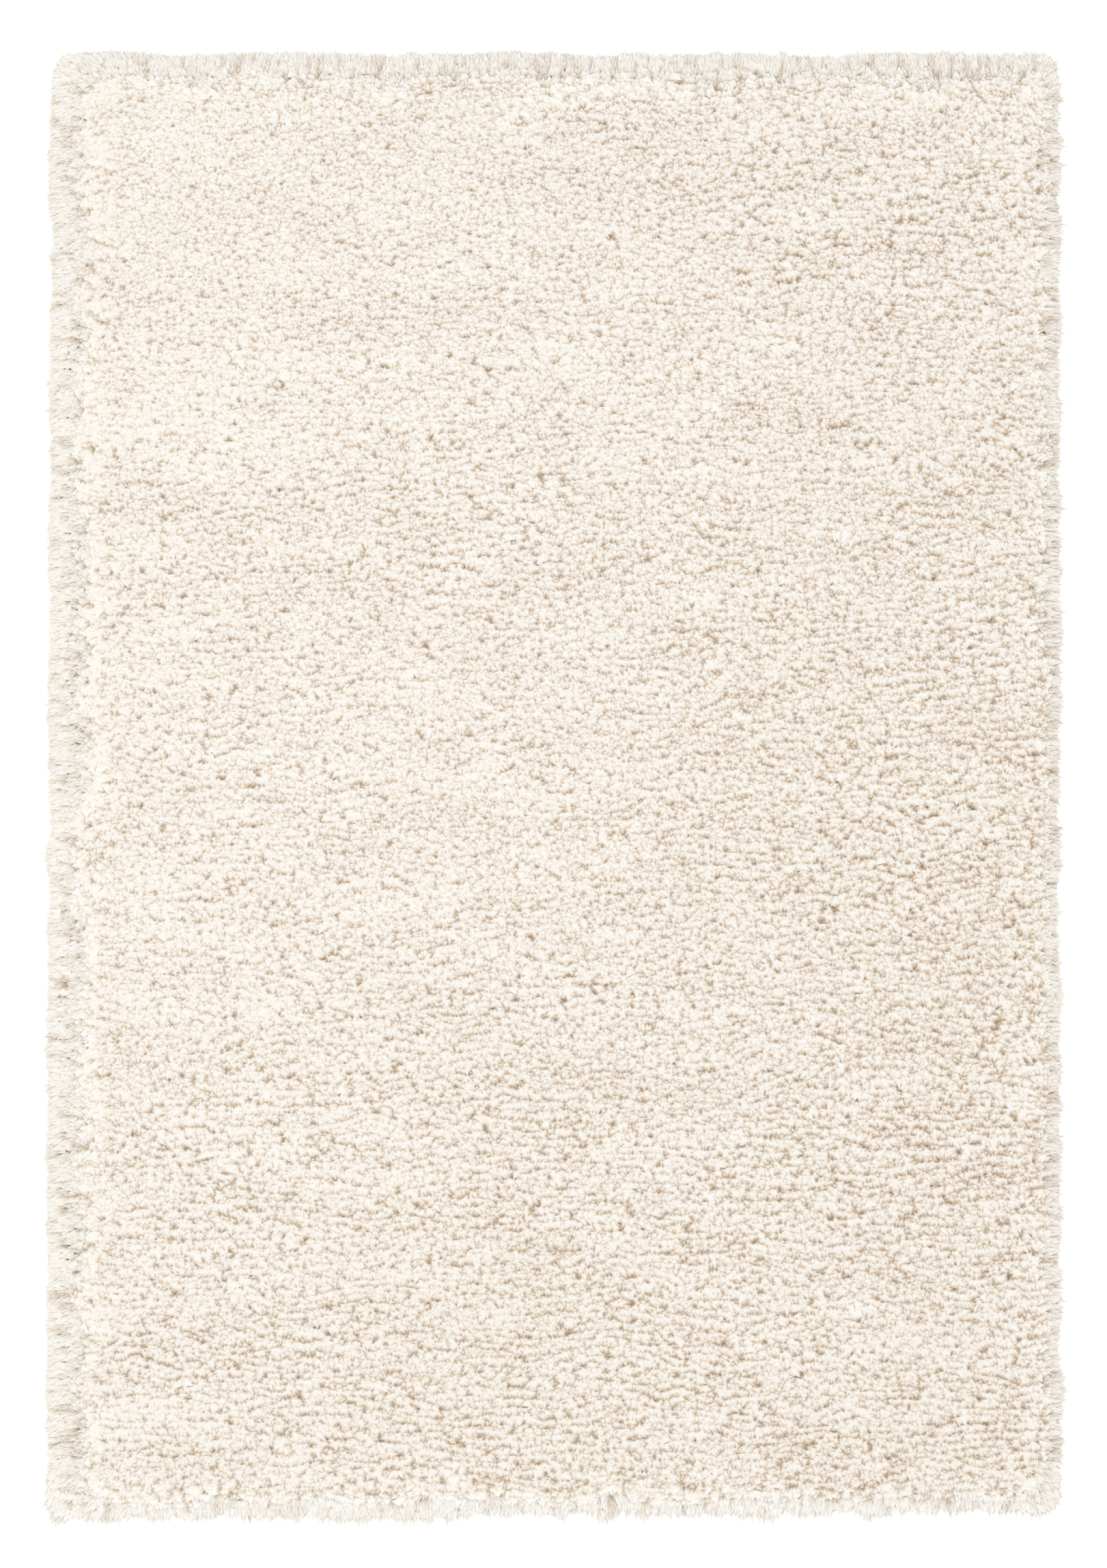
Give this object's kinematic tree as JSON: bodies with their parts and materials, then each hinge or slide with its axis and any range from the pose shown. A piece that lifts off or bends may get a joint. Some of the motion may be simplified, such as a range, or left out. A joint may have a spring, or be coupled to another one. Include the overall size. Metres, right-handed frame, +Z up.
{
  "type": "shag rug",
  "caption": "Rectangular deep-pile floor rug lying flat: a thick shaggy slab of ivory yarn on a flat underside, with tapering locks leaning out all round its rim.",
  "frame": {"origin": "under the middle of the rug's box, on the surface that it lies on", "axes": "+X across the rug to the right, +Y along the rug's long side towards the picture's top, +Z up out of the pile"},
  "size_m": [1.62, 2.3414, 0.0503],
  "materials": {
    "pile": "matte twisted yarn, ivory at the tips and tan in the gaps between them"
  },
  "bodies": {
    "root": {"shag_rug": "pile"}
  },
  "joints": []
}
